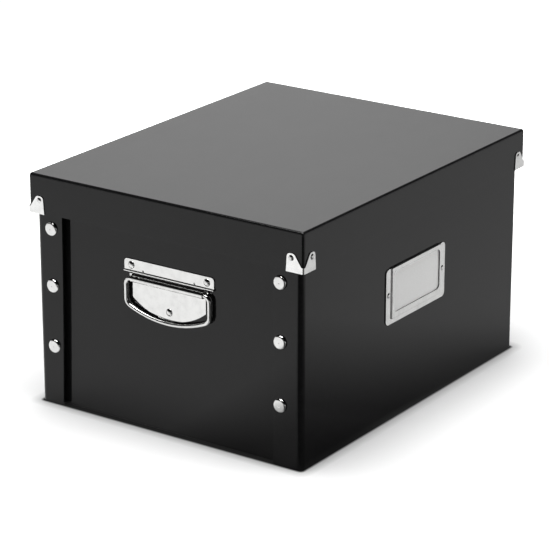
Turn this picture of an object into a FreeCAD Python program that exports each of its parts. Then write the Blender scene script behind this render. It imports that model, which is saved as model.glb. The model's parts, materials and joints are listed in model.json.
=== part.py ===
import FreeCAD, Part
import math
import os
import Sketcher

# Archival storage box: laminated board body that snaps together at its four
# corners, lift-off lid with metal corner brackets, a bail handle on each end
# and a label holder on one long side.
#
# Frame: origin at the centre of the underside, +Z up.  X runs across the width
# and Y along the depth.  "left" is -X, "right" is +X, "front" is -Y and "rear"
# is +Y.  The label holder is on the right.  All sizes are in millimetres.
#
# Hardware is drawn in a local frame whose XZ plane is the board's outer face
# and whose -Y axis points out of the box; a Placement turns it to its wall.

doc = FreeCAD.newDocument("archival_box")
sheet = doc.addObject("Spreadsheet::Sheet", "Sizes")
sheet_rows = []
pieces = []


# ---------------------------------------------------------------- sizes

class Size:
    """A number together with the spreadsheet expression that gives it."""

    def __init__(self, value, text):
        self.value = float(value)
        self.text = text

    def __neg__(self):
        return Size(-self.value, f"(-1 * {self.text})")

    def __add__(self, other):
        other = as_size(other)
        return Size(self.value + other.value, f"({self.text} + {other.text})")

    def __sub__(self, other):
        other = as_size(other)
        return Size(self.value - other.value, f"({self.text} - {other.text})")

    def __mul__(self, other):
        other = as_size(other)
        return Size(self.value * other.value, f"({self.text} * {other.text})")

    def __truediv__(self, other):
        other = as_size(other)
        return Size(self.value / other.value, f"({self.text} / {other.text})")

    __rmul__ = __mul__


def as_size(number):
    return number if isinstance(number, Size) else Size(number, repr(float(number)))


def size(alias, value):
    """Enter a driving dimension in the spreadsheet and return it."""
    row = len(sheet_rows) + 1
    sheet_rows.append(alias)
    sheet.set(f"A{row}", alias)
    sheet.set(f"B{row}", str(value))
    sheet.setAlias(f"B{row}", alias)
    return Size(value, f"Sizes.{alias}")


ZERO = Size(0, "0")

# Board and body
board = size("board_thickness", 2.0)
body_width = size("body_width", 273.0)
body_depth = size("body_depth", 344.0)
wall_height = size("wall_height", 206.0)
corner_radius = size("corner_bend_radius", 5.5)
flap_width = size("flap_width", 28.0)
flap_trim = size("flap_edge_trim", 0.5)
snap_gap = size("snap_gap", 3.7)
fit_gap = size("board_fit_gap", 0.3)

# Lid
lid_gap = size("lid_gap", 2.0)
skirt_depth = size("lid_skirt_depth", 31.9)
lid_edge_round = size("lid_edge_round", 1.4)

# Press studs
stud_insets = {
    "left": size("stud_inset_left", 16.3),
    "right": size("stud_inset_right", 21.0),
}
stud_heights = [
    size("stud_low_height", 53.9),
    size("stud_middle_height", 109.1),
    size("stud_high_height", 160.4),
]
cap_radius = size("stud_cap_radius", 6.2)
cap_rim = size("stud_cap_rim", 0.3)
cap_round = size("stud_cap_edge_radius", 1.9)
cap_height = size("stud_cap_height", 2.4)
cap_stem = size("stud_cap_stem_radius", 1.8)
socket_radius = size("stud_socket_radius", 5.0)
socket_cavity = size("stud_socket_cavity_radius", 2.6)
socket_base = size("stud_socket_base", 0.75)
socket_height = size("stud_socket_height", 1.9)
knob_radius = size("stud_knob_radius", 2.2)
stud_flange = size("stud_flange_thickness", 0.8)
post_radius = size("stud_post_radius", 1.7)
post_head = size("stud_post_head_radius", 4.5)
hole_play = size("hole_play", 0.1)

# Handle
sheet_metal = size("handle_plate_thickness", 1.0)
strip_half = size("handle_strip_half_width", 46.2)
strip_low = size("handle_strip_low", 136.8)
strip_high = size("handle_strip_high", 148.1)
strip_round = size("handle_strip_corner_radius", 3.0)
lip_height = size("handle_lip_height", 1.5)
lip_depth = size("handle_lip_depth", 2.2)
tab_inner = size("handle_tab_inner_end", 34.5)
tab_outer = size("handle_tab_outer_end", 40.5)
tab_low = size("handle_tab_low", 133.2)
tab_high = size("handle_tab_high", 135.6)
tab_depth = size("handle_tab_depth", 1.4)
shell_half = size("handle_shell_half_width", 37.8)
shell_low = size("handle_shell_low", 101.4)
shell_arc = size("handle_shell_arc_radius", 58.8)
pivot_height = size("handle_pivot_height", 131.9)
pivot_reach = size("handle_pivot_reach", 3.3)
barrel_half = size("handle_barrel_half_length", 37.2)
barrel_radius = size("handle_barrel_radius", 2.8)
barrel_bore = size("handle_barrel_bore_radius", 1.86)
dimple_offset = size("handle_dimple_offset", 26.5)
dimple_radius = size("handle_dimple_radius", 1.0)
rivet_offset = size("handle_rivet_offset", 39.0)
rivet_height = size("handle_rivet_height", 143.0)
rivet_low = size("handle_low_rivet_height", 108.6)
rivet_head = size("handle_rivet_head_radius", 3.4)
rivet_dome = size("handle_rivet_dome", 1.7)
rivet_shank = size("handle_rivet_shank_radius", 1.6)
washer_radius = size("handle_washer_radius", 5.0)
washer_thickness = size("handle_washer_thickness", 0.6)
rod_radius = size("bail_rod_radius", 1.8)
bail_half = size("bail_half_width", 43.15)
bail_drop = size("bail_drop", 32.6)
bail_bend = size("bail_top_bend_radius", 5.5)
bail_corner = size("bail_corner_radius", 7.0)
bail_arc = size("bail_bottom_arc_radius", 96.2)

# Label holder and card
holder_half = size("holder_half_length", 47.2)
holder_low = size("holder_low", 88.1)
holder_high = size("holder_high", 137.8)
holder_round = size("holder_corner_radius", 4.0)
holder_metal = size("holder_flange_thickness", 0.9)
pocket_half = size("holder_pocket_half_length", 39.2)
pocket_low = size("holder_pocket_low", 92.6)
pocket_depth = size("holder_pocket_depth", 1.2)
window_half = size("holder_window_half_length", 37.0)
window_low = size("holder_window_low", 97.8)
window_high = size("holder_window_high", 134.1)
window_round = size("holder_window_radius", 4.0)
holder_rivet = size("holder_rivet_offset", 43.2)
holder_rivet_up = size("holder_rivet_height", 114.6)
small_head = size("small_rivet_head_radius", 2.5)
small_dome = size("small_rivet_dome", 1.2)
small_shank = size("small_rivet_shank_radius", 1.2)
tail_height = size("rivet_tail_height", 0.6)
card_half = size("card_half_length", 38.0)
card_thickness = size("card_thickness", 0.4)
card_gap = size("card_wall_gap", 0.35)

# Lid corner brackets
bracket_metal = size("bracket_thickness", 0.8)
bracket_bend = size("bracket_bend_radius", 1.7)
bracket_reach = size("bracket_reach", 16.5)
bracket_height = size("bracket_height", 15.0)
lobe_inner = size("bracket_lobe_inner", 8.6)
lobe_outer = size("bracket_lobe_outer", 15.4)
lobe_round = size("bracket_lobe_radius", 3.1)
notch_height = size("bracket_notch_height", 4.2)
notch_reach = size("bracket_notch_reach", 1.8)
bracket_rivet = size("bracket_rivet_offset", 11.4)
bracket_rivet_up = size("bracket_rivet_rise", 11.2)

# Faces worked out from the sizes above
side_face = body_width / 2
end_face = body_depth / 2
panel_face = end_face - board - snap_gap
lid_side = side_face + lid_gap + board
lid_end = end_face + lid_gap + board
skirt_low = wall_height - skirt_depth

SIDES = {"left": -1, "right": 1}
ENDS = {"front": -1, "rear": 1}

doc.recompute()


# ---------------------------------------------------------------- modelling helpers

def bind(item, prop, measure):
    item.setExpression(prop, as_size(measure).text)


def new_body(label):
    body = doc.addObject("PartDesign::Body", label)
    body.Label = label
    body.AllowCompound = True
    pieces.append(body)
    return body


def place(piece, across=ZERO, along=ZERO, up=ZERO, turn=0):
    """Turn a piece about the vertical axis and move it to its bound position."""
    piece.Placement = FreeCAD.Placement(FreeCAD.Vector(), FreeCAD.Rotation(FreeCAD.Vector(0, 0, 1), turn))
    for axis, measure in zip("xyz", (across, along, up)):
        bind(piece, f"Placement.Base.{axis}", measure)


def new_sketch(body, role, across=ZERO, up=ZERO, offset=ZERO):
    """Attach a sketch to one of the body's own origin planes, with a bound offset."""
    sketch = body.newObject("Sketcher::SketchObject", f"{body.Label}_sketch")
    plane = next(item for item in body.Origin.OriginFeatures if item.Role == role)
    sketch.AttachmentSupport = [(plane, "")]
    sketch.MapMode = "FlatFace"
    for axis, measure in zip("xyz", (across, up, offset)):
        bind(sketch, f"AttachmentOffset.Base.{axis}", measure)
    return sketch


def fix_point(sketch, geometry, point, x, y):
    """Bind a point's coordinates; a plain number is only a starting value."""
    for kind, measure in (("DistanceX", x), ("DistanceY", y)):
        if isinstance(measure, Size):
            number = sketch.addConstraint(
                Sketcher.Constraint(kind, -1, 1, geometry, point, measure.value))
            bind(sketch, f"Constraints[{number}]", measure)


def start_value(measure):
    return measure.value if isinstance(measure, Size) else measure


def vector(point):
    return FreeCAD.Vector(start_value(point[0]), start_value(point[1]), 0)


def arc_between(start, end, centre):
    """The shorter arc about a centre, and whether it runs from start to end."""
    first = math.atan2(start.y - centre.y, start.x - centre.x)
    last = math.atan2(end.y - centre.y, end.x - centre.x)
    turn = (last - first) % (2 * math.pi)
    forward = turn < math.pi
    if not forward:
        first, last = last, first
    circle = Part.Circle(centre, FreeCAD.Vector(0, 0, 1), (start - centre).Length)
    return Part.ArcOfCircle(circle, first, last), forward


def outline(sketch, points, arcs=None, smooth=()):
    """Draw a closed outline and return each edge's geometry and end points.

    arcs maps an edge's number to its centre point.  smooth lists the points
    where the outline runs on without a corner.
    """
    arcs = arcs or {}
    ends = []
    for number, point in enumerate(points):
        start = vector(point)
        end = vector(points[(number + 1) % len(points)])
        if number in arcs:
            arc, forward = arc_between(start, end, vector(arcs[number]))
            geometry = sketch.addGeometry(arc, False)
            ends.append((geometry, 1, 2) if forward else (geometry, 2, 1))
        else:
            geometry = sketch.addGeometry(Part.LineSegment(start, end), False)
            ends.append((geometry, 1, 2))
    for number, (geometry, first, _) in enumerate(ends):
        before, _, last = ends[number - 1]
        joint = "Tangent" if number in smooth else "Coincident"
        sketch.addConstraint(Sketcher.Constraint(joint, before, last, geometry, first))
        fix_point(sketch, geometry, first, *points[number])
        if number in arcs:
            fix_point(sketch, geometry, 3, *arcs[number])
    return ends


def rectangle(sketch, left, right, low, high):
    outline(sketch, [(left, low), (right, low), (right, high), (left, high)])


def circle(sketch, x, y, radius):
    geometry = sketch.addGeometry(
        Part.Circle(vector((x, y)), FreeCAD.Vector(0, 0, 1), radius.value), False)
    fix_point(sketch, geometry, 3, x, y)
    number = sketch.addConstraint(Sketcher.Constraint("Radius", geometry, radius.value))
    bind(sketch, f"Constraints[{number}]", radius)


def pad(body, sketch, length, midplane=False):
    feature = body.newObject("PartDesign::Pad", f"{body.Label}_pad")
    feature.Profile = sketch
    feature.Midplane = midplane
    bind(feature, "Length", length)
    doc.recompute()
    return feature


def pocket(body, sketch, length=None, outward=False):
    """Cut a sketch through everything, or to a depth; it must remove material."""
    before = body.Shape.Volume
    feature = body.newObject("PartDesign::Pocket", f"{body.Label}_pocket")
    feature.Profile = sketch
    if length is None:
        feature.Type = 1
        feature.Midplane = True
    else:
        feature.Reversed = outward
        bind(feature, "Length", length)
    doc.recompute()
    if not body.Shape.Volume < before - 1e-3:
        raise RuntimeError(f"{body.Label}: the pocket removed nothing")
    return feature


def fillet(body, radius, wanted):
    """Round the edges of the body's last feature for which wanted(edge) is true."""
    last = body.Tip
    names = [f"Edge{number}" for number, edge in enumerate(last.Shape.Edges, 1) if wanted(edge)]
    if not names:
        raise RuntimeError(f"{body.Label}: no edge to round")
    feature = body.newObject("PartDesign::Fillet", f"{body.Label}_fillet")
    feature.Base = (last, names)
    bind(feature, "Radius", radius)
    doc.recompute()
    return feature


def runs_along(edge, axis):
    """True for a straight edge parallel to the X, Y or Z axis."""
    if edge.Curve.TypeId != "Part::GeomLine":
        return False
    direction = edge.Curve.Direction
    return abs(getattr(direction, axis)) > 0.999


def passes(edge, **places):
    """True if the edge's middle has the given coordinates, signs ignored."""
    middle = edge.CenterOfMass
    return all(abs(abs(getattr(middle, axis)) - place.value) < 0.02 for axis, place in places.items())


def turned(label, profile, places, arcs=None, **placement):
    """Round pieces turned about the local Y axis, one solid at each (across, up) place."""
    body = new_body(label)
    for across, up in places:
        sketch = new_sketch(body, "XY_Plane", across=across, offset=up)
        outline(sketch, profile, arcs)
        feature = body.newObject("PartDesign::Revolution", f"{label}_turned")
        feature.Profile = sketch
        feature.ReferenceAxis = (sketch, ["V_Axis"])
        feature.Angle = 360
        doc.recompute()
    place(body, **placement)
    return body


def dome_centre(radius, rise):
    """Where the centre of a dome lies below its rim."""
    return (radius ** 2 - rise ** 2) / (2 * rise)


def rivet_profile(head, dome, seat, shank, grip, tail):
    """Half section of a dome-headed rivet: seat is the metal under the head."""
    sag = dome_centre(head.value, dome.value)
    points = [
        (ZERO, -seat - dome),
        (head, -seat),
        (shank, -seat),
        (shank, grip),
        (tail, grip),
        (tail, grip + tail_height),
        (ZERO, grip + tail_height),
    ]
    return points, {0: (ZERO, -seat.value + sag)}


# ---------------------------------------------------------------- body boards

def bottom_panel():
    body = new_body("bottom_panel")
    sketch = new_sketch(body, "XY_Plane")
    half_width = side_face - board
    half_depth = panel_face - board
    rectangle(sketch, -half_width, half_width, -half_depth, half_depth)
    pad(body, sketch, board)


def side_wall(side, sign):
    body = new_body(f"side_wall_{side}")
    sketch = new_sketch(body, "XY_Plane")
    straight = end_face - corner_radius
    inner, outer = sorted((sign * (side_face - board), sign * side_face), key=start_value)
    rectangle(sketch, inner, outer, -straight, straight)
    pad(body, sketch, wall_height)
    if side == "right":
        holes = new_sketch(body, "YZ_Plane")
        for along in (-holder_rivet, holder_rivet):
            circle(holes, along, holder_rivet_up, small_shank)
        pocket(body, holes)


def corner_flap(end, end_sign, side, side_sign):
    """Flap that bends round the corner and lies over the outside of the end wall."""
    body = new_body(f"flap_{end}_{side}")
    sketch = new_sketch(body, "XY_Plane", offset=flap_trim)
    bend_x = side_face - corner_radius
    bend_y = end_face - corner_radius
    points = [
        (side_face, bend_y),
        (bend_x, end_face),
        (side_face - flap_width, end_face),
        (side_face - flap_width, end_face - board),
        (bend_x, end_face - board),
        (side_face - board, bend_y),
    ]
    centre = (side_sign * bend_x, end_sign * bend_y.value)
    outline(sketch, [(side_sign * x, end_sign * y) for x, y in points], {0: centre, 4: centre})
    pad(body, sketch, wall_height - 2 * flap_trim)
    holes = new_sketch(body, "XZ_Plane")
    for height in stud_heights:
        circle(holes, side_sign * (side_face - stud_insets[side]), height, cap_stem + hole_play)
    pocket(body, holes)


def end_wall(end, sign):
    body = new_body(f"end_wall_{end}")
    sketch = new_sketch(body, "XY_Plane")
    half = side_face - board - fit_gap
    low, high = sorted((sign * panel_face, sign * (panel_face - board)), key=start_value)
    rectangle(sketch, -half, half, low, high)
    pad(body, sketch, wall_height)
    holes = new_sketch(body, "XZ_Plane")
    for height in stud_heights:
        for side, side_sign in SIDES.items():
            circle(holes, side_sign * (side_face - stud_insets[side]), height, post_radius)
    for across, height in rivet_places:
        circle(holes, across, height, rivet_shank)
    pocket(body, holes)


# ---------------------------------------------------------------- press studs

def press_studs(end, end_sign, side, side_sign):
    """Three press studs: cap and socket on the flap, knob and post on the end wall."""
    corner = f"{end}_{side}"
    across = side_sign * -end_sign * (side_face - stud_insets[side])
    places = [(across, height) for height in stud_heights]
    seat = dict(along=end_sign * end_face, turn=0 if end == "front" else 180)

    flat = cap_radius - cap_round
    edge_top = cap_rim + cap_round
    cap_sag = dome_centre(flat.value, (cap_height - edge_top).value)
    cap = [
        (ZERO, -cap_height),
        (flat, -edge_top),
        (cap_radius, -cap_rim),
        (cap_radius, ZERO),
        (cap_stem, ZERO),
        (cap_stem, board + socket_base),
        (ZERO, board + socket_base),
    ]
    arcs = {0: (ZERO, -edge_top.value + cap_sag), 1: (flat, -cap_rim.value)}
    turned(f"stud_caps_{corner}", cap, places, arcs, **seat)

    socket_mouth = board + socket_height
    socket = [
        (cap_stem + hole_play, board),
        (socket_radius, board),
        (socket_radius, socket_mouth - socket_base),
        (socket_radius - socket_base, socket_mouth),
        (socket_cavity, socket_mouth),
        (socket_cavity, board + socket_base),
        (cap_stem + hole_play, board + socket_base),
    ]
    turned(f"stud_sockets_{corner}", socket, places, **seat)

    panel = board + snap_gap
    flange = panel - stud_flange
    tip = board + socket_base + hole_play * 2
    knob = [
        (ZERO, tip),
        (knob_radius, tip),
        (knob_radius, flange),
        (socket_radius, flange),
        (socket_radius, panel),
        (post_radius + hole_play, panel),
        (post_radius + hole_play, flange + hole_play),
        (ZERO, flange + hole_play),
    ]
    turned(f"stud_knobs_{corner}", knob, places, **seat)

    post = [
        (ZERO, flange + hole_play * 2),
        (post_radius, flange + hole_play * 2),
        (post_radius, panel + board),
        (post_head, panel + board),
        (post_head - tail_height, panel + board + stud_flange),
        (ZERO, panel + board + stud_flange),
    ]
    turned(f"stud_posts_{corner}", post, places, **seat)


# ---------------------------------------------------------------- handles

rivet_places = [
    (-rivet_offset, rivet_height),
    (rivet_offset, rivet_height),
    (ZERO, rivet_low),
]


def handle_seat(end, sign):
    return dict(along=sign * panel_face, turn=0 if end == "front" else 180)


def backplate(end, sign):
    """Stamped plate: riveted strip above, rolled hinge barrel, D-shaped shell below."""
    body = new_body(f"handle_{end}_backplate")
    sketch = new_sketch(body, "XZ_Plane")
    rise = shell_arc.value - math.sqrt(shell_arc.value ** 2 - shell_half.value ** 2)
    shoulder = shell_low.value + rise
    points = [
        (-strip_half, strip_high),
        (-strip_half, strip_low),
        (-shell_half, strip_low),
        (-shell_half, shoulder),
        (shell_half, shoulder),
        (shell_half, strip_low),
        (strip_half, strip_low),
        (strip_half, strip_high),
    ]
    outline(sketch, points, {3: (ZERO, shell_low + shell_arc)})
    pad(body, sketch, sheet_metal)
    fillet(body, strip_round,
           lambda edge: runs_along(edge, "y") and passes(edge, x=strip_half, z=strip_high))

    lip = new_sketch(body, "XZ_Plane")
    rectangle(lip, -strip_half, strip_half, strip_low, strip_low + lip_height)
    pad(body, lip, lip_depth)
    fillet(body, sheet_metal * 0.6,
           lambda edge: runs_along(edge, "x") and passes(edge, y=lip_depth))

    web = new_sketch(body, "YZ_Plane")
    outline(web, [
        (ZERO, strip_low + lip_height / 2),
        (-sheet_metal, strip_low + lip_height / 2),
        (-pivot_reach, pivot_height + barrel_radius * 0.95),
        (-pivot_reach, pivot_height - barrel_radius * 0.8),
        (ZERO, pivot_height - barrel_radius * 0.8),
    ])
    pad(body, web, barrel_half * 2, midplane=True)
    tabs = new_sketch(body, "XZ_Plane")
    rectangle(tabs, -tab_outer, -tab_inner, tab_low, tab_high)
    rectangle(tabs, tab_inner, tab_outer, tab_low, tab_high)
    pad(body, tabs, tab_depth)
    barrel = new_sketch(body, "YZ_Plane")
    circle(barrel, -pivot_reach, pivot_height, barrel_radius)
    pad(body, barrel, barrel_half * 2, midplane=True)
    bore = new_sketch(body, "YZ_Plane")
    circle(bore, -pivot_reach, pivot_height, barrel_bore)
    pocket(body, bore)

    holes = new_sketch(body, "XZ_Plane")
    for across, height in rivet_places:
        circle(holes, across, height, rivet_shank)
    pocket(body, holes)
    dimples = new_sketch(body, "XZ_Plane", offset=sheet_metal)
    for across in (-dimple_offset, dimple_offset):
        circle(dimples, across, strip_low + lip_height + dimple_radius * 1.3, dimple_radius)
    pocket(body, dimples, sheet_metal * 0.7)
    place(body, **handle_seat(end, sign))


def bail(end, sign):
    """D-shaped rod bail whose straight bar lies in the hinge barrel."""
    inner = bail_half - bail_bend
    corner_x = bail_half - bail_corner
    arc_centre = bail_arc.value - bail_drop.value
    reach = bail_arc.value - bail_corner.value
    corner_z = arc_centre - math.sqrt(reach ** 2 - corner_x.value ** 2)
    meet_x = corner_x.value * bail_arc.value / reach
    meet_z = arc_centre + (corner_z - arc_centre) * bail_arc.value / reach
    half = [
        (inner, ZERO),
        (bail_half.value, -bail_bend),
        (bail_half, corner_z),
        (meet_x, meet_z),
    ]
    mirrored = [(-x, z) for x, z in reversed(half)]
    path = doc.addObject("Sketcher::SketchObject", f"bail_{end}_path")
    path.Placement = FreeCAD.Placement(FreeCAD.Vector(), FreeCAD.Rotation(FreeCAD.Vector(1, 0, 0), 90))
    arcs = {
        0: (inner, -bail_bend),
        2: (corner_x.value, corner_z),
        3: (ZERO, bail_arc - bail_drop),
        4: (-corner_x.value, corner_z),
        6: (-inner, -bail_bend),
    }
    ends = outline(path, half + mirrored, arcs, smooth=(2, 3, 4, 5))
    for arc, radius in ((2, bail_corner), (3, bail_arc), (4, bail_corner)):
        number = path.addConstraint(Sketcher.Constraint("Radius", ends[arc][0], radius.value))
        bind(path, f"Constraints[{number}]", radius)
    section = doc.addObject("Sketcher::SketchObject", f"bail_{end}_section")
    section.Placement = FreeCAD.Placement(FreeCAD.Vector(), FreeCAD.Rotation(FreeCAD.Vector(0, 1, 0), 90))
    bind(section, "Placement.Base.x", inner)
    circle(section, ZERO, ZERO, rod_radius)
    doc.recompute()
    rod = doc.addObject("Part::Sweep", f"handle_{end}_bail")
    rod.Label = f"handle_{end}_bail"
    rod.Sections = [section]
    rod.Spine = (path, [f"Edge{number}" for number in range(1, len(path.Shape.Edges) + 1)])
    rod.Solid = True
    rod.Frenet = False
    pieces.append(rod)
    doc.recompute()
    expected = math.pi * rod_radius.value ** 2 * path.Shape.Length
    print(rod.Label, "volume", round(rod.Shape.Volume, 1), "section times length", round(expected, 1))
    seat = handle_seat(end, sign)
    place(rod, along=sign * (panel_face + pivot_reach), up=pivot_height, turn=seat["turn"])


def handle_fasteners(end, sign):
    seat = handle_seat(end, sign)
    grip = board + washer_thickness
    points, arcs = rivet_profile(rivet_head, rivet_dome, sheet_metal, rivet_shank, grip, rivet_head * 0.8)
    turned(f"handle_{end}_rivets", points, rivet_places, arcs, **seat)
    washer = [
        (rivet_shank, board),
        (washer_radius, board),
        (washer_radius, grip),
        (rivet_shank, grip),
    ]
    turned(f"handle_{end}_washers", washer, rivet_places, **seat)


# ---------------------------------------------------------------- label holder

holder_seat = dict(across=side_face, turn=90)


def label_holder():
    """Stamped frame: flat flange on the wall, raised pocket with a window, open at the top."""
    body = new_body("label_holder")
    flange = new_sketch(body, "XZ_Plane")
    rectangle(flange, -holder_half, holder_half, holder_low, holder_high)
    pad(body, flange, holder_metal)
    fillet(body, holder_round, lambda edge: runs_along(edge, "y"))
    raised = new_sketch(body, "XZ_Plane")
    rectangle(raised, -pocket_half, pocket_half, pocket_low, holder_high)
    pad(body, raised, pocket_depth + holder_metal)
    cavity = new_sketch(body, "XZ_Plane")
    wall = holder_metal
    rectangle(cavity, -pocket_half + wall, pocket_half - wall, pocket_low + wall, holder_high + wall)
    pocket(body, cavity, pocket_depth, outward=True)
    window = new_sketch(body, "XZ_Plane")
    rectangle(window, -window_half, window_half, window_low, window_high)
    pocket(body, window)
    fillet(body, window_round,
           lambda edge: runs_along(edge, "y") and passes(edge, x=window_half))
    holes = new_sketch(body, "XZ_Plane")
    for along in (-holder_rivet, holder_rivet):
        circle(holes, along, holder_rivet_up, small_shank)
    pocket(body, holes)
    fillet(body, holder_metal * 0.6,
           lambda edge: passes(edge, y=pocket_depth + holder_metal)
           and (runs_along(edge, "x") or runs_along(edge, "z"))
           and (passes(edge, x=pocket_half) or passes(edge, z=pocket_low)))
    place(body, **holder_seat)


def label_fasteners():
    places = [(-holder_rivet, holder_rivet_up), (holder_rivet, holder_rivet_up)]
    points, arcs = rivet_profile(small_head, small_dome, holder_metal, small_shank, board, small_head * 0.85)
    turned("label_holder_rivets", points, places, arcs, **holder_seat)


def label_card():
    body = new_body("label_card")
    sketch = new_sketch(body, "XZ_Plane", offset=card_gap)
    low = pocket_low + holder_metal + card_gap
    rectangle(sketch, -card_half, card_half, low, holder_high - holder_metal)
    pad(body, sketch, card_thickness)
    place(body, **holder_seat)


# ---------------------------------------------------------------- lid

def lid_top():
    body = new_body("lid_top")
    sketch = new_sketch(body, "XY_Plane", offset=wall_height)
    rectangle(sketch, -lid_side, lid_side, -lid_end, lid_end)
    pad(body, sketch, board)
    fillet(body, lid_edge_round, lambda edge: runs_along(edge, "z"))
    top = wall_height + board
    fillet(body, lid_edge_round, lambda edge: passes(edge, z=top))


def lid_skirt(label, role, low_x, high_x, low_y, high_y, hole_span):
    """One board of the lid's skirt, with a rivet hole near each end."""
    body = new_body(label)
    sketch = new_sketch(body, "XY_Plane", offset=skirt_low)
    rectangle(sketch, low_x, high_x, low_y, high_y)
    pad(body, sketch, skirt_depth)
    if role == "XZ_Plane":
        fillet(body, lid_edge_round,
               lambda edge: runs_along(edge, "z") and passes(edge, x=lid_side, y=lid_end))
    holes = new_sketch(body, role)
    for across in (-hole_span, hole_span):
        circle(holes, across, skirt_low + bracket_rivet_up, small_shank)
    pocket(body, holes)


def lid_skirts():
    for end, sign in ENDS.items():
        low, high = sorted((sign * lid_end, sign * (lid_end - board)), key=start_value)
        lid_skirt(f"lid_skirt_{end}", "XZ_Plane", -lid_side, lid_side, low, high,
                  lid_side - bracket_rivet)
    for side, sign in SIDES.items():
        low, high = sorted((sign * lid_side, sign * (lid_side - board)), key=start_value)
        straight = lid_end - board
        lid_skirt(f"lid_skirt_{side}", "YZ_Plane", low, high, -straight, straight,
                  lid_end - bracket_rivet)


def bracket_lobe(corner, sign):
    """Outline of one leg of a corner bracket, running away from the corner."""
    outward = bracket_metal
    points = [
        (outward, ZERO - bracket_metal),
        (-bracket_reach, ZERO - bracket_metal),
        (-lobe_outer, bracket_height),
        (-lobe_inner, bracket_height),
        (-notch_reach, notch_height + 0.6),
        (outward, notch_height),
    ]
    return [(sign * (corner + x), skirt_low + z) for x, z in points]


def lid_bracket(end, end_sign, side, side_sign):
    """Two-legged metal bracket that wraps a lower corner of the lid's skirt."""
    body = new_body(f"lid_bracket_{end}_{side}")
    end_leg = new_sketch(body, "XZ_Plane", offset=-end_sign * lid_end)
    outline(end_leg, bracket_lobe(lid_side, side_sign))
    leg = pad(body, end_leg, bracket_metal)
    leg.Reversed = end_sign > 0
    side_leg = new_sketch(body, "YZ_Plane", offset=side_sign * lid_side)
    outline(side_leg, bracket_lobe(lid_end, end_sign))
    leg = pad(body, side_leg, bracket_metal)
    leg.Reversed = side_sign < 0
    foot = new_sketch(body, "XY_Plane", offset=skirt_low - bracket_metal)
    points = [
        (lid_side + bracket_metal, lid_end + bracket_metal),
        (lid_side + bracket_metal, lid_end - bracket_reach),
        (lid_side - board, lid_end - bracket_reach),
        (lid_side - board, lid_end - board),
        (lid_side - bracket_reach, lid_end - board),
        (lid_side - bracket_reach, lid_end + bracket_metal),
    ]
    outline(foot, [(side_sign * x, end_sign * y) for x, y in points])
    pad(body, foot, bracket_metal)
    tops = skirt_low + bracket_height
    fillet(body, lobe_round,
           lambda edge: (runs_along(edge, "y") or runs_along(edge, "x")) and passes(edge, z=tops)
           and edge.Length < bracket_metal.value * 1.5)
    fillet(body, bracket_bend,
           lambda edge: runs_along(edge, "z")
           and passes(edge, x=lid_side + bracket_metal, y=lid_end + bracket_metal))
    for role, corner, sign in (("XZ_Plane", lid_side, side_sign), ("YZ_Plane", lid_end, end_sign)):
        hole = new_sketch(body, role)
        circle(hole, sign * (corner - bracket_rivet), skirt_low + bracket_rivet_up, small_shank)
        pocket(body, hole)


def bracket_rivets(side_name, places, **seat):
    points, arcs = rivet_profile(small_head, small_dome, bracket_metal, small_shank, board, small_head * 0.85)
    turned(f"lid_rivets_{side_name}", points, places, arcs, **seat)


def lid_rivets():
    up = skirt_low + bracket_rivet_up
    end_span = lid_side - bracket_rivet
    side_span = lid_end - bracket_rivet
    for end, sign in ENDS.items():
        bracket_rivets(end, [(-end_span, up), (end_span, up)],
                       along=sign * lid_end, turn=0 if end == "front" else 180)
    for side, sign in SIDES.items():
        bracket_rivets(side, [(-side_span, up), (side_span, up)],
                       across=sign * lid_side, turn=sign * 90)


# ---------------------------------------------------------------- assembly

bottom_panel()
for side_name, side_sign in SIDES.items():
    side_wall(side_name, side_sign)
for end_name, end_sign in ENDS.items():
    end_wall(end_name, end_sign)
    backplate(end_name, end_sign)
    bail(end_name, end_sign)
    handle_fasteners(end_name, end_sign)
    for side_name, side_sign in SIDES.items():
        corner_flap(end_name, end_sign, side_name, side_sign)
        press_studs(end_name, end_sign, side_name, side_sign)
        lid_bracket(end_name, end_sign, side_name, side_sign)
label_holder()
label_fasteners()
label_card()
lid_top()
lid_skirts()
lid_rivets()
doc.recompute()

for item in doc.Objects:
    if "Invalid" in item.State or "Error" in item.State:
        raise RuntimeError(f"{item.Label} did not recompute: {item.State}")
for piece in pieces:
    if piece.Shape.isNull() or not piece.Shape.isValid() or not piece.Shape.Solids:
        raise RuntimeError(f"{piece.Label} has no valid solid")

os.makedirs("parts", exist_ok=True)
for piece in pieces:
    piece.Shape.exportStep(f"parts/{piece.Label}.step")
print(len(pieces), "pieces")
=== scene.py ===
import json
import math

import bmesh
import bpy
from mathutils import Matrix, Vector


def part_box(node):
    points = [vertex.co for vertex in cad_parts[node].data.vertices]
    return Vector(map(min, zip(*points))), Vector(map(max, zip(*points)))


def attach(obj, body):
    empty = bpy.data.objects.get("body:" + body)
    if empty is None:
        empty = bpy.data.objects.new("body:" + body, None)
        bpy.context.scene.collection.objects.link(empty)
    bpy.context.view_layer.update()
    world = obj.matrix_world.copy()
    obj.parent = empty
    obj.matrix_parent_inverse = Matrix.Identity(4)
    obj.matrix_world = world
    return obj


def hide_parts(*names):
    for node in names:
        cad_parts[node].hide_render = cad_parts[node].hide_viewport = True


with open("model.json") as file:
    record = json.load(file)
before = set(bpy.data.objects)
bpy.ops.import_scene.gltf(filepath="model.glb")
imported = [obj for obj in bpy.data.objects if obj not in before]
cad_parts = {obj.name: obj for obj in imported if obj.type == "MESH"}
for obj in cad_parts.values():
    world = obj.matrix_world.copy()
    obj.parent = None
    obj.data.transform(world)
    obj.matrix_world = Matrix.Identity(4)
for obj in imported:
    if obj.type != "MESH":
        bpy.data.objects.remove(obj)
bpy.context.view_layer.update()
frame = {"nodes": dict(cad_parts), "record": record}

# Looks of an archival storage box in glossy black laminated board with chromed
# hardware.  Lengths are in millimetres until they reach Blender, where MM turns
# them into metres.  Front is -Y, the label side is +X.

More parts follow.
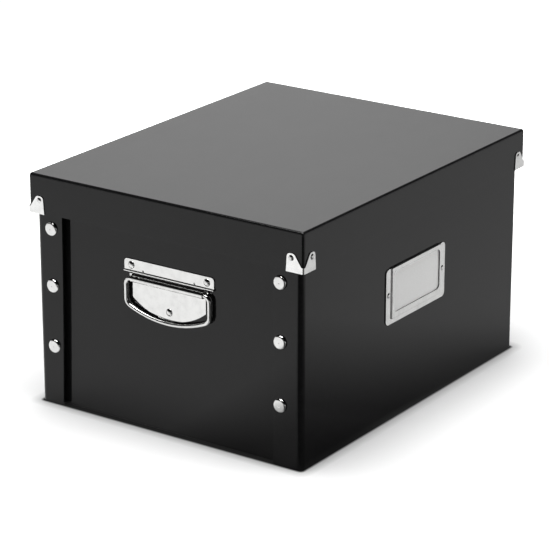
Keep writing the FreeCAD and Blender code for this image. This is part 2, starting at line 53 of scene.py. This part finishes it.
MM = 0.001
scene = bpy.context.scene
record = frame["record"]
node_slots = {part["node"]: part["material_slot"] for part in record["subparts"]}
body_of_node = {node: body for body, nodes in record["behaviour"]["bodies"].items() for node in nodes}
SIDES = {"left": -1, "right": 1}
ENDS = {"front": -1, "rear": 1}

# How far the front left flap's free edge has curled back at the floor.
FLAP_DRIFT = 4.2

# Floor.  Whiteness near and far as the camera sees it, painted darker near the box and
# brighter far out, and painted shade that darkens the floor the box mirrors on its right
# and towards the unlit side of the studio.
SEEN_FLOOR = (0.85, 1.7)
UNLIT_SIDE = (0.569, -0.822, 0.0)
REARWARD = (0.5, 1.0, 0.0)
RIGHT_PAINTED_SHADE = (0.16, 0.6)
UNLIT_PAINTED_SHADE = 0.4
# Painted contact shadow round the box's footprint: its darkest level, and the share of the flap bend that
# rounds its corners.
CONTACT_SHADE = 0.04
CONTACT_SHARE = 0.5
BACKDROP_REACH = (0.8, 1.5)


# ---------------------------------------------------------------- material helpers

class Graph:
    """A node material under construction."""

    def __init__(self, name):
        self.material = bpy.data.materials.new(name)
        self.material.use_nodes = True
        self.tree = self.material.node_tree
        self.tree.nodes.clear()
        self.coords = self.add("ShaderNodeTexCoord").outputs["Object"]

    def add(self, kind, inputs=None, **settings):
        node = self.tree.nodes.new(kind)
        for key, value in settings.items():
            setattr(node, key, value)
        for key, value in (inputs or {}).items():
            if isinstance(value, bpy.types.NodeSocket):
                self.tree.links.new(value, node.inputs[key])
            else:
                node.inputs[key].default_value = value
        return node

    def noise(self, scale, detail=2.0, roughness=0.5, stretch=None, shift=0.0):
        """Noise between 0 and 1; scale is in features per metre."""
        vector = self.coords
        if stretch or shift:
            vector = self.add("ShaderNodeMapping", {
                "Vector": vector, "Location": (shift, shift * 0.7, shift * 0.3), "Scale": stretch or (1, 1, 1),
            }).outputs["Vector"]
        return self.add("ShaderNodeTexNoise", {
            "Vector": vector, "Scale": scale, "Detail": detail, "Roughness": roughness,
        }).outputs["Fac"]

    def math(self, operation, first, second=0.0):
        return self.add("ShaderNodeMath", {0: first, 1: second}, operation=operation).outputs[0]

    def span(self, value, low, high, out_low=0.0, out_high=1.0):
        """Map low..high to out_low..out_high, clamped."""
        return self.add("ShaderNodeMapRange", {
            "Value": value, "From Min": low, "From Max": high, "To Min": out_low, "To Max": out_high,
        }).outputs["Result"]

    def mix(self, factor, first, second):
        """Blend two colours."""
        node = self.add("ShaderNodeMix", {0: factor}, data_type="RGBA")
        for index, value in ((6, first), (7, second)):
            if isinstance(value, bpy.types.NodeSocket):
                self.tree.links.new(value, node.inputs[index])
            else:
                node.inputs[index].default_value = (*value, 1.0)
        return node.outputs[2]

    def bump(self, height, depth, normal=None):
        """Relief whose full height range is depth millimetres."""
        inputs = {"Height": height, "Strength": 1.0, "Distance": depth * MM}
        if normal is not None:
            inputs["Normal"] = normal
        return self.add("ShaderNodeBump", inputs).outputs["Normal"]

    def along(self, vector, direction):
        """Dot product of a vector with a fixed direction."""
        return self.add("ShaderNodeVectorMath", {0: vector, 1: direction},
                        operation="DOT_PRODUCT").outputs["Value"]

    def attribute(self, name):
        return self.add("ShaderNodeAttribute", attribute_name=name).outputs["Fac"]

    def finish(self, **inputs):
        """Join a Principled shader to the output; keywords use _ for spaces."""
        named = {key.replace("_", " "): value for key, value in inputs.items()}
        for key, value in named.items():
            if key == "Base Color" and not isinstance(value, bpy.types.NodeSocket):
                named[key] = (*value, 1.0)
        shader = self.add("ShaderNodeBsdfPrincipled", named)
        self.add("ShaderNodeOutputMaterial", {"Surface": shader.outputs["BSDF"]})
        return self.material


# ---------------------------------------------------------------- materials

def laminate(name, film, gloss, shift, dusty_above=None):
    """Glossy black film on board: soft board waves, fine grain, rubbed folds and edges,
    and handling marks on any face above the given height."""
    g = Graph(name)
    mottle = g.noise(240, detail=4, roughness=0.62, shift=shift)
    cloud = g.noise(17, detail=3, shift=shift + 3.1)
    grain = g.noise(3200, detail=3, roughness=0.7)
    peel = g.noise(420, detail=2, shift=shift)
    wave = g.noise(11, detail=2, roughness=0.4, shift=shift + 7.7)
    rub = g.noise(9, detail=5, roughness=0.72, stretch=(1.0, 1.0, 5.5), shift=shift + 1.9)
    hairline = g.noise(60, detail=3, roughness=0.8, stretch=(1.0, 0.9, 26.0), shift=shift)
    wear = g.attribute("wear")
    chips = g.noise(900, detail=3, roughness=0.75, shift=shift)
    scuffed = g.math("MULTIPLY", wear, g.span(chips, 0.6, 0.74))

    colour = g.mix(g.span(mottle, 0.3, 0.7), film, tuple(value * 1.8 for value in film))
    colour = g.mix(g.math("MULTIPLY", scuffed, 0.35), colour, (0.085, 0.08, 0.075))
    rough = g.math("ADD", gloss, g.span(cloud, 0.3, 0.75, 0.0, 0.05))
    rough = g.math("ADD", rough, g.span(rub, 0.56, 0.75, 0.0, 0.07))
    rough = g.math("ADD", rough, g.span(hairline, 0.66, 0.8, 0.0, 0.05))
    rough = g.math("ADD", rough, g.math("MULTIPLY", scuffed, 0.3))
    if dusty_above is not None:
        height = g.add("ShaderNodeSeparateXYZ", {"Vector": g.coords}).outputs["Z"]
        raised = g.span(height, dusty_above - 0.5 * MM, dusty_above)
        smear = g.noise(70, detail=5, roughness=0.72, stretch=(1.0, 0.6, 1.0), shift=shift)
        speck = g.noise(620, detail=4, roughness=0.72, shift=shift + 5.0)
        marks = g.math("ADD", g.span(smear, 0.38, 0.72, 0.0, 0.22), g.span(speck, 0.5, 0.72, 0.0, 0.75))
        colour = g.mix(g.math("MULTIPLY", raised, marks), colour, (0.034, 0.034, 0.033))
        rough = g.math("ADD", rough, g.math("MULTIPLY", raised, g.span(smear, 0.4, 0.7, 0.0, 0.03)))
    normal = g.bump(wave, 0.07)
    normal = g.bump(peel, 0.0045, normal)
    normal = g.bump(grain, 0.0022, normal)
    return g.finish(Base_Color=colour, Roughness=rough, Normal=normal, IOR=1.38)


def lining_paper():
    """Matt black paper that lines the inside of the box and lid."""
    g = Graph("lining_paper")
    fibre = g.noise(900, detail=5, roughness=0.7, stretch=(1.0, 1.0, 0.35))
    flake = g.noise(2600, detail=2, roughness=0.6)
    cloud = g.noise(26, detail=3)
    wear = g.attribute("wear")
    colour = g.mix(g.span(fibre, 0.35, 0.7), (0.014, 0.014, 0.015), (0.034, 0.033, 0.032))
    colour = g.mix(g.math("MULTIPLY", wear, 0.35), colour, (0.09, 0.085, 0.08))
    rough = g.span(cloud, 0.3, 0.7, 0.62, 0.8)
    normal = g.bump(fibre, 0.03)
    normal = g.bump(flake, 0.008, normal)
    return g.finish(Base_Color=colour, Roughness=rough, Normal=normal)


def chrome(name, tint, polish, shift, metallic=1.0):
    """Bright plating over stamped steel: faint waves, fine polish lines and smudges."""
    g = Graph(name)
    cloud = g.noise(70, detail=3, shift=shift)
    smudge = g.noise(160, detail=4, roughness=0.65, shift=shift + 2.0)
    line = g.noise(700, detail=3, roughness=0.7, stretch=(0.08, 0.08, 1.0), shift=shift)
    wave = g.noise(130, detail=2, shift=shift)
    pit = g.noise(2400, detail=2, roughness=0.6, shift=shift)
    dull = tuple(value * 0.86 for value in tint)
    colour = g.mix(g.span(smudge, 0.42, 0.78), tint, dull)
    rough = g.math("ADD", polish, g.span(cloud, 0.35, 0.75, 0.0, 0.06))
    rough = g.math("ADD", rough, g.span(smudge, 0.5, 0.8, 0.0, 0.09))
    rough = g.math("ADD", rough, g.span(line, 0.55, 0.85, 0.0, 0.05))
    normal = g.bump(wave, 0.012)
    normal = g.bump(line, 0.0012, normal)
    normal = g.bump(pit, 0.0012, normal)
    return g.finish(Base_Color=colour, Metallic=metallic, Roughness=rough, Normal=normal)


def card_stock():
    """Uncoated light grey card with visible fibre."""
    g = Graph("card_stock")
    fibre = g.noise(1500, detail=5, roughness=0.75, stretch=(1.0, 0.4, 1.0))
    speck = g.noise(4200, detail=2, roughness=0.5)
    cloud = g.noise(60, detail=3)
    colour = g.mix(g.span(fibre, 0.3, 0.72), (0.80, 0.80, 0.79), (0.92, 0.92, 0.91))
    colour = g.mix(g.span(speck, 0.66, 0.78, 0.0, 0.5), colour, (0.56, 0.56, 0.54))
    rough = g.span(cloud, 0.3, 0.7, 0.58, 0.72)
    normal = g.bump(fibre, 0.018)
    return g.finish(Base_Color=colour, Roughness=rough, Normal=normal)


def studio_floor():
    """Plain pale studio floor.  The camera sees it white, with a painted contact shadow where the
    box stands, painted darker near the box and plain white far out; the floor that the box
    mirrors is painted darker to the right and towards the unlit side, standing in for the box's shadow."""
    g = Graph("studio_floor")
    cloud = g.noise(3.0, detail=3)
    fine = g.noise(600, detail=3)
    colour = g.mix(g.span(cloud, 0.3, 0.7), (0.80, 0.80, 0.80), (0.82, 0.82, 0.82))
    axes = g.add("ShaderNodeSeparateXYZ", {"Vector": g.coords}).outputs
    across = axes["X"]
    outward = g.add("ShaderNodeVectorMath", {0: g.coords}, operation="NORMALIZE").outputs["Vector"]
    toward = g.along(outward, UNLIT_SIDE)
    rearward = g.along(g.coords, REARWARD)
    # Painted shade: the floor that the box mirrors is painted darker on the box's right and towards the unlit
    # side, standing in for the box's shadow there.
    painted_shade_beside = g.math("MAXIMUM", g.span(across, 0.12, 0.15, 1.0, 0.0), g.span(rearward, 0.06, 0.3, *RIGHT_PAINTED_SHADE))
    painted_mirror_shade = g.math("MULTIPLY", painted_shade_beside, g.span(toward, 0.8, 0.97, 1.0, UNLIT_PAINTED_SHADE))
    colour = g.mix(painted_mirror_shade, (0.0, 0.0, 0.0), colour)
    normal = g.bump(fine, 0.01)
    plain = g.add("ShaderNodeBsdfDiffuse", {"Color": colour, "Normal": normal}).outputs[0]
    distance = g.add("ShaderNodeVectorMath", {0: g.coords}, operation="LENGTH").outputs["Value"]
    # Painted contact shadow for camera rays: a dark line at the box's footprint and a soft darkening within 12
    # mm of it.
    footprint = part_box("flap_rear_right")[1]
    bend = (footprint.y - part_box("side_wall_right")[1].y) * CONTACT_SHARE
    outside = []
    for axis, half in (("X", footprint.x), ("Y", footprint.y)):
        beyond = g.math("SUBTRACT", g.math("ABSOLUTE", axes[axis]), half - bend)
        outside.append(g.math("POWER", g.math("MAXIMUM", beyond), 2.0))
    past = g.math("SUBTRACT", g.math("SQRT", g.math("ADD", *outside)), bend)
    painted_contact_line = g.span(past, 0.0, 0.0025, CONTACT_SHADE, 1.0)
    painted_contact_shadow = g.math("MULTIPLY", painted_contact_line, g.span(past, 0.0, 0.012, 0.75, 1.2))
    # Camera rays see the floor painted darker near the box and brighter far out, times the painted contact
    # shadow.
    white = g.math("MULTIPLY", painted_contact_shadow, g.span(distance, 0.3, 0.8, *SEEN_FLOOR))
    seen = g.add("ShaderNodeBsdfDiffuse", {"Color": white, "Normal": normal}).outputs[0]
    backdrop = g.add("ShaderNodeEmission", {"Color": (1.0, 1.0, 1.0, 1.0), "Strength": 1.0}).outputs[0]
    far = g.span(distance, *BACKDROP_REACH)
    seen = g.add("ShaderNodeMixShader", {0: far, 1: seen, 2: backdrop}).outputs[0]
    camera_ray = g.add("ShaderNodeLightPath").outputs["Is Camera Ray"]
    shader = g.add("ShaderNodeMixShader", {0: camera_ray, 1: plain, 2: seen}).outputs[0]
    g.add("ShaderNodeOutputMaterial", {"Surface": shader})
    return g.material


FINISHES = {
    "body_board": laminate("body_film", (0.0050, 0.0050, 0.0052), 0.05, 0.0),
    "lid_board": laminate("lid_film", (0.0050, 0.0050, 0.0052), 0.06, 11.0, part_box("lid_top")[1].z),
    "chrome_plate": chrome("bright_plate", (0.82, 0.82, 0.81), 0.05, 0.0),
    "spring_steel": chrome("spring_steel", (0.62, 0.61, 0.59), 0.22, 5.0),
    "label_card": card_stock(),
    "satin_plate": chrome("satin_plate", (0.93, 0.93, 0.92), 0.16, 9.0),
    # Painted light: a pale, barely metallic copy of the plating that makes the pocket's side steps look lit.
    "pocket_step_painted_light": chrome("pocket_step_painted_light", (0.93, 0.93, 0.92), 0.5, 9.0, metallic=0.2),
    # Painted shade: near-black metal for the faces round the label window, where the gap under the holder lies
    # in shade.
    "window_edge_painted_shade": chrome("window_edge_painted_shade", (0.10, 0.10, 0.10), 0.3, 13.0),
}
SATIN_PARTS = ("label_holder", "lid_bracket")
LINING = lining_paper()


# ---------------------------------------------------------------- mesh helpers

def finish_piece(name, bm, body, slot, nodes, inner_faces=None, smooth_angle=40):
    """Turn a bmesh into a shown piece that rides on a body and stands for CAD nodes."""
    bmesh.ops.recalc_face_normals(bm, faces=bm.faces)
    for face in bm.faces:
        face.smooth = True
    for edge in bm.edges:
        edge.smooth = len(edge.link_faces) == 2 and edge.calc_face_angle(0) < math.radians(smooth_angle)
    if inner_faces:
        for face in bm.faces:
            if inner_faces(face):
                face.material_index = 1
    mesh = bpy.data.meshes.new(name)
    bm.to_mesh(mesh)
    bm.free()
    piece = bpy.data.objects.new(name, mesh)
    scene.collection.objects.link(piece)
    mesh.materials.append(FINISHES[slot])
    if inner_faces:
        mesh.materials.append(LINING)
    weighted = piece.modifiers.new("flat_faces", "WEIGHTED_NORMAL")
    weighted.keep_sharp = True
    weighted.weight = 80
    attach(piece, body)
    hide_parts(*nodes)
    return piece


def mark_wear(bm, reach):
    """Store on each vertex how near it is to a bent or cut edge of its own box."""
    layer = bm.verts.layers.float.new("wear")
    low = [min(vert.co[axis] for vert in bm.verts) for axis in range(3)]
    high = [max(vert.co[axis] for vert in bm.verts) for axis in range(3)]
    for vert in bm.verts:
        gaps = sorted(min(vert.co[axis] - low[axis], high[axis] - vert.co[axis]) for axis in range(3))
        vert[layer] = max(0.0, 1.0 - gaps[1] / (reach * MM))


def cut_loops(bm, places):
    """Slice the mesh at each (axis, position) so that attributes have rows to live on."""
    for axis, position in places:
        normal = Vector([float(number == axis) for number in range(3)])
        geometry = list(bm.verts) + list(bm.edges) + list(bm.faces)
        bmesh.ops.bisect_plane(bm, geom=geometry, plane_co=normal * position, plane_no=normal)


def soften_edges(bm, radius, segments=3, angle=30):
    """Round every edge sharper than the angle."""
    sharp = [edge for edge in bm.edges
             if len(edge.link_faces) == 2 and edge.calc_face_angle(0) > math.radians(angle)]
    bmesh.ops.bevel(bm, geom=sharp, offset=radius * MM, segments=segments, profile=0.5,
                    affect="EDGES", clamp_overlap=True)


def board(name, node, radius, slot, inward=None, rows=6, wear=3.0):
    """A flat board with rounded wrapped edges, filling the CAD node's own box."""
    low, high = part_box(node)
    bm = bmesh.new()
    bmesh.ops.create_cube(bm, size=1.0)
    centre, span = (low + high) / 2, high - low
    bmesh.ops.transform(bm, verts=bm.verts, matrix=Matrix.Translation(centre) @ Matrix.Diagonal((*span, 1.0)))
    soften_edges(bm, radius)
    places = []
    for axis in range(3):
        if span[axis] > 10 * MM:
            places += [(axis, low[axis] + wear * MM), (axis, high[axis] - wear * MM)]
            places += [(axis, low[axis] + span[axis] * step / rows) for step in range(1, rows)]
    cut_loops(bm, places)
    mark_wear(bm, wear)
    inner = None
    if inward is not None:
        direction = Vector(inward)
        inner = lambda face: face.normal.dot(direction) > 0.95
    return finish_piece(name, bm, body_of_node[node], slot, [node], inner)


def side_wrap(side, sign):
    """One board: side wall with a flap bent round each corner onto the end wall."""
    nodes = [f"side_wall_{side}", f"flap_front_{side}", f"flap_rear_{side}"]
    wall_low, wall_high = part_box(nodes[0])
    flap_low, flap_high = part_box(nodes[2])
    outer = max(abs(wall_low.x), abs(wall_high.x))
    thickness = wall_high.x - wall_low.x
    straight = wall_high.y
    end = flap_high.y
    tip = min(abs(flap_low.x), abs(flap_high.x))
    bend = end - straight
    steps = 12
    outside, inside = [], []
    for number in range(steps + 1):
        angle = math.pi / 2 * number / steps
        reach = (math.cos(angle), math.sin(angle))
        outside.append((outer - bend + bend * reach[0], straight + bend * reach[1]))
        small = bend - thickness
        inside.append((outer - bend + small * reach[0], straight + small * reach[1]))
    outside.append((tip, end))
    inside.append((tip, end - thickness))
    half = outside[::-1]
    plan = [(x, y) for x, y in half] + [(x, -y) for x, y in outside]
    back = [(x, -y) for x, y in inside[::-1]] + [(x, y) for x, y in inside]
    bm = bmesh.new()
    verts = [bm.verts.new((sign * x, y, wall_low.z)) for x, y in plan + back]
    base = bm.faces.new(verts)
    lifted = bmesh.ops.extrude_face_region(bm, geom=[base])
    tops = [item for item in lifted["geom"] if isinstance(item, bmesh.types.BMVert)]
    bmesh.ops.translate(bm, verts=tops, vec=(0, 0, wall_high.z - wall_low.z))
    bmesh.ops.recalc_face_normals(bm, faces=bm.faces)
    soften_edges(bm, 0.12, angle=50)
    cut_loops(bm, [(2, wall_low.z + 3 * MM), (2, wall_high.z - 3 * MM)]
              + [(2, wall_high.z * step / 6) for step in range(1, 6)]
              + [(1, straight * step / 5) for step in range(-4, 5)]
              + [(0, sign * (tip + 3 * MM))])
    for vert in bm.verts:
        past = min(max((abs(vert.co.y) - straight) / (bend * 0.6), 0.0), 1.0)
        lowest = wall_low.z + (flap_low.z - wall_low.z) * past
        highest = wall_high.z - (wall_high.z - flap_high.z) * past
        vert.co.z = min(max(vert.co.z, lowest), highest)
        # The front left flap's free edge curls back towards the corner near the floor.
        if side == "left" and vert.co.y < -straight and abs(vert.co.x) < tip + 3.5 * MM:
            lowness = (wall_high.z - vert.co.z) / (wall_high.z - wall_low.z)
            vert.co.x += sign * FLAP_DRIFT * MM * lowness ** 1.7
    layer = bm.verts.layers.float.new("wear")
    for vert in bm.verts:
        gap = min(vert.co.z - wall_low.z, wall_high.z - vert.co.z)
        if abs(vert.co.y) > straight:
            gap = min(gap, abs(vert.co.x) - tip)
        vert[layer] = max(0.0, 1.0 - gap / (3 * MM))
    inner = lambda face: (face.normal.x * sign < -0.95 and abs(face.calc_center_median().y) < straight)
    return finish_piece(f"side_wrap_{side}", bm, body_of_node[nodes[0]], "body_board", nodes, inner)


def lid_shell():
    """The lid's top and skirt as one wrapped board, open below."""
    nodes = ["lid_top"] + [f"lid_skirt_{name}" for name in (*ENDS, *SIDES)]
    top_low, top_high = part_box("lid_top")
    front_low, front_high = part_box("lid_skirt_front")
    thickness = front_high.y - front_low.y

    bm = bmesh.new()

    def ring(inset, height):
        x, y = top_high.x - inset, top_high.y - inset
        corners = ((-1, -1), (1, -1), (1, 1), (-1, 1))
        return [bm.verts.new((across * x, along * y, height)) for across, along in corners]

    levels = ((0, top_high.z), (0, front_low.z), (thickness, front_low.z), (thickness, top_low.z))
    rings = [ring(inset, height) for inset, height in levels]
    bm.faces.new(rings[0])
    bm.faces.new(rings[3][::-1])
    for upper, lower in zip(rings, rings[1:]):
        for number in range(4):
            after = (number + 1) % 4
            bm.faces.new((upper[number], upper[after], lower[after], lower[number]))
    bmesh.ops.recalc_face_normals(bm, faces=bm.faces)
    folds = [edge for edge in bm.edges if all(vert in rings[0] + rings[1] for vert in edge.verts)
             and any(vert in rings[0] for vert in edge.verts)]
    bmesh.ops.bevel(bm, geom=folds, offset=2.4 * MM, segments=6, profile=0.5, affect="EDGES")
    soften_edges(bm, 0.15, segments=2, angle=50)
    places = [(2, front_low.z + 3 * MM), (2, top_high.z - 4 * MM)]
    for axis in (0, 1):
        reach = top_high[axis]
        places += [(axis, side * (reach - 4 * MM)) for side in (-1, 1)]
        places += [(axis, reach * step / 4) for step in range(-3, 4)]
    cut_loops(bm, places)
    mark_wear(bm, 2.5)

    def is_inner(face):
        middle = face.calc_center_median()
        margin = thickness * 0.9
        return (abs(middle.x) < top_high.x - margin and abs(middle.y) < top_high.y - margin
                and middle.z < top_high.z - margin)

    return finish_piece("lid_shell", bm, body_of_node["lid_top"], "lid_board", nodes, is_inner)


def finish_holder_edges():
    """Painted shade round the label window, as near-black metal where the gap under the holder lies in shade,
    and painted light on the pocket's side steps, as a pale, barely metallic copy of the plating.
    """
    mesh = frame["nodes"]["label_holder"].data
    mesh.materials.append(FINISHES["window_edge_painted_shade"])
    mesh.materials.append(FINISHES["pocket_step_painted_light"])
    openings = {item["name"]: item["box_m"] for item in record["physics"]["openings"]}
    low, high = (Vector(corner) for corner in openings["label_window"])
    margin = 2.6 * MM
    holder_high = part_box("label_holder")[1]
    rim = 5.0 * MM
    for polygon in mesh.polygons:
        centre = polygon.center
        if abs(polygon.normal.x) > 0.5:
            continue
        # Painted shade on the faces round the window.
        if low.y - margin < centre.y < high.y + margin and low.z - margin < centre.z < high.z + margin:
            polygon.material_index = 1
        # Painted light on the pocket's side steps.
        elif abs(centre.y) < holder_high.y - rim and abs(polygon.normal.y) > 0.5:
            polygon.material_index = 2


# ---------------------------------------------------------------- pieces

for side, sign in SIDES.items():
    side_wrap(side, sign)
for end, sign in ENDS.items():
    board(f"end_panel_{end}", f"end_wall_{end}", 0.45, "body_board", inward=(0, -sign, 0))
board("base_board", "bottom_panel", 0.45, "body_board", inward=(0, 0, 1))
lid_shell()

for name, cad in frame["nodes"].items():
    if cad.hide_render:
        continue
    cad.data.materials.clear()
    satin = name.startswith(SATIN_PARTS)
    cad.data.materials.append(FINISHES["satin_plate" if satin else node_slots[name]])
finish_holder_edges()


# ---------------------------------------------------------------- studio

GLOW_DIRECTION = (-0.52, 0.72, 0.46)
GLOW_EDGE = 0.93
GLOW_CORE = 1.0
GLOW_LEVEL = 1.2
WALL_TOP = 0.12
WALL_FADE = 0.28
WALL_LEVEL = 0.95
CEILING_LEVEL = 0.008
UNLIT_WALL = 0.3

def studio_world():
    """Dim studio with pale walls and a soft glow behind the box."""
    world = bpy.data.worlds.new("studio")
    world.use_nodes = True
    tree = world.node_tree
    tree.nodes.clear()

    def add(kind, inputs, **settings):
        node = tree.nodes.new(kind)
        for key, value in settings.items():
            setattr(node, key, value)
        for key, value in inputs.items():
            if isinstance(value, bpy.types.NodeSocket):
                tree.links.new(value, node.inputs[key])
            else:
                node.inputs[key].default_value = value
        return node.outputs

    direction = add("ShaderNodeTexCoord", {})["Generated"]
    height = add("ShaderNodeSeparateXYZ", {"Vector": direction})["Z"]
    toward = add("ShaderNodeVectorMath", {0: direction, 1: GLOW_DIRECTION}, operation="DOT_PRODUCT")["Value"]
    glow = add("ShaderNodeMapRange", {
        "Value": toward, "From Min": GLOW_EDGE, "From Max": GLOW_CORE, "To Min": 0.0, "To Max": GLOW_LEVEL,
    }, interpolation_type="SMOOTHSTEP")["Result"]
    walls = add("ShaderNodeMapRange", {
        "Value": height, "From Min": WALL_TOP, "From Max": WALL_FADE,
        "To Min": WALL_LEVEL, "To Max": CEILING_LEVEL,
    }, interpolation_type="SMOOTHSTEP")["Result"]
    away = add("ShaderNodeVectorMath", {0: direction, 1: UNLIT_SIDE}, operation="DOT_PRODUCT")["Value"]
    lit = add("ShaderNodeMapRange", {
        "Value": away, "From Min": 0.2, "From Max": 0.8, "To Min": 1.0, "To Max": UNLIT_WALL,
    }, interpolation_type="SMOOTHSTEP")["Result"]
    walls = add("ShaderNodeMath", {0: walls, 1: lit}, operation="MULTIPLY")["Value"]
    level = add("ShaderNodeMath", {0: glow, 1: walls}, operation="ADD")["Value"]
    shade = add("ShaderNodeBackground", {"Color": (1.0, 1.0, 1.0, 1.0), "Strength": level})["Background"]
    add("ShaderNodeOutputWorld", {"Surface": shade})
    scene.world = world


def softbox(name, location, target, width, height, power):
    light = bpy.data.lights.new(name, "AREA")
    light.shape = "RECTANGLE"
    light.size = width
    light.size_y = height
    light.energy = power
    lamp = bpy.data.objects.new(name, light)
    lamp.location = location
    lamp.rotation_euler = (Vector(target) - Vector(location)).to_track_quat("-Z", "Y").to_euler()
    scene.collection.objects.link(lamp)
    return lamp


studio_world()
softbox("overhead_softbox", (-0.2, -0.25, 3.2), (0.0, 0.0, 0.0), 2.4, 2.4, 128.0)
# The side light is kept out of mirror images, where it would hide the glossy lid.
side_lamp = softbox("side_softbox", (2.6, 0.6, 1.3), (0.0, 0.0, 0.1), 2.4, 2.4, 40.0)
side_lamp.visible_glossy = False

floor_mesh = bpy.data.meshes.new("floor")
reach = 16.0
floor_mesh.from_pydata([(-reach, -reach, 0), (reach, -reach, 0), (reach, reach, 0), (-reach, reach, 0)],
                       [], [(0, 1, 2, 3)])
floor = bpy.data.objects.new("floor", floor_mesh)
floor.data.materials.append(studio_floor())
scene.collection.objects.link(floor)

camera_data = bpy.data.cameras.new("camera")
camera_data.sensor_width = 36.0
camera_data.lens = 171.28
camera_data.clip_end = 60.0
camera = bpy.data.objects.new("camera", camera_data)
camera.location = (1.23251, -1.79467, 0.87235)
camera.rotation_euler = Vector((-0.5355, 0.7743, -0.3372)).to_track_quat("-Z", "Y").to_euler()
scene.collection.objects.link(camera)
scene.camera = camera
scene.view_settings.view_transform = "Standard"

bpy.context.view_layer.update()
